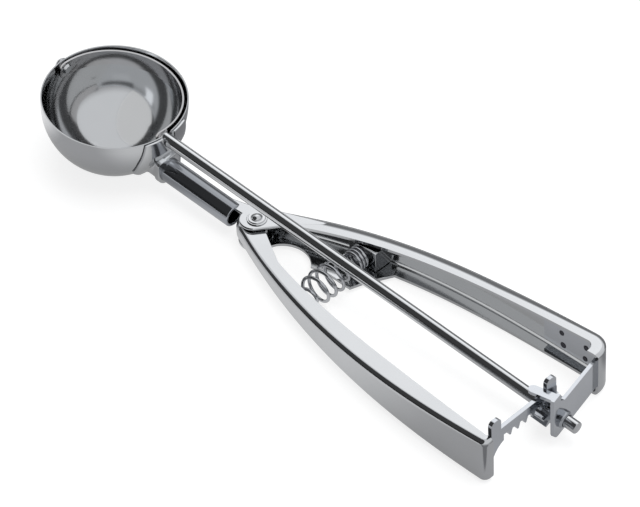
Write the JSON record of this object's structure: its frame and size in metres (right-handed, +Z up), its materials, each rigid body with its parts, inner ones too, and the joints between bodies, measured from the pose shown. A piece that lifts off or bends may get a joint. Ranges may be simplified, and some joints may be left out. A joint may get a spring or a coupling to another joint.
{
  "type": "lever ice cream scoop",
  "caption": "Stainless steel squeeze-handle ice cream scoop: closing the two handles drives a rack over a pinion, and a band scrapes the round bowl clean.",
  "frame": {"origin": "middle of the footprint on the table, under the scoop", "axes": "+X runs from the bowl to the ends of the handles, +Y towards the fixed handle, +Z up with the bowl's mouth facing up"},
  "size_m": [0.2353, 0.063, 0.0301],
  "materials": {
    "bowl_steel": "polished",
    "saddle_steel": "polished",
    "handle_steel": "polished",
    "rivet_steel": "polished",
    "washer_steel": "polished",
    "gear_steel": "satin",
    "bush_steel": "satin",
    "seat_steel": "polished",
    "rod_steel": "polished",
    "scraper_steel": "polished",
    "spring_steel": "polished"
  },
  "bodies": {
    "frame": {"bowl": "bowl_steel", "saddle": "saddle_steel", "fixed_handle": "handle_steel", "hinge_rivet": "rivet_steel", "hinge_washer": "washer_steel", "hinge_sleeve": "washer_steel", "scraper_pivot": "rivet_steel", "pivot_spacer": "washer_steel", "pinion_bracket": "gear_steel", "rod_bush": "bush_steel", "fixed_spring_seat": "seat_steel", "spring": "spring_steel"},
    "moving_handle": {"moving_handle": "handle_steel", "rack": "gear_steel", "moving_spring_seat": "seat_steel"},
    "rod": {"rod": "rod_steel", "pinion": "gear_steel", "scraper": "scraper_steel"}
  },
  "joints": [
    {"name": "handle_squeeze", "type": "hinge", "parent": "frame", "child": "moving_handle", "pos_m": [-0.02551, 0.0025, 0.006], "axis": [0, 0, 1], "range_deg": [0, 7.6], "stiffness_Nm_per_rad": 3, "springref_deg": -8.59, "deforming": ["spring"]},
    {"name": "rod_turn", "type": "hinge", "parent": "frame", "child": "rod", "pos_m": [0.00915, 0.0015, 0.01681], "axis": [0.9966, 0, -0.0819], "range_deg": [-217, 0]}
  ],
  "couplings": [
    {"joint": "rod_turn", "follows": "handle_squeeze", "ratio": -28.308}
  ]
}
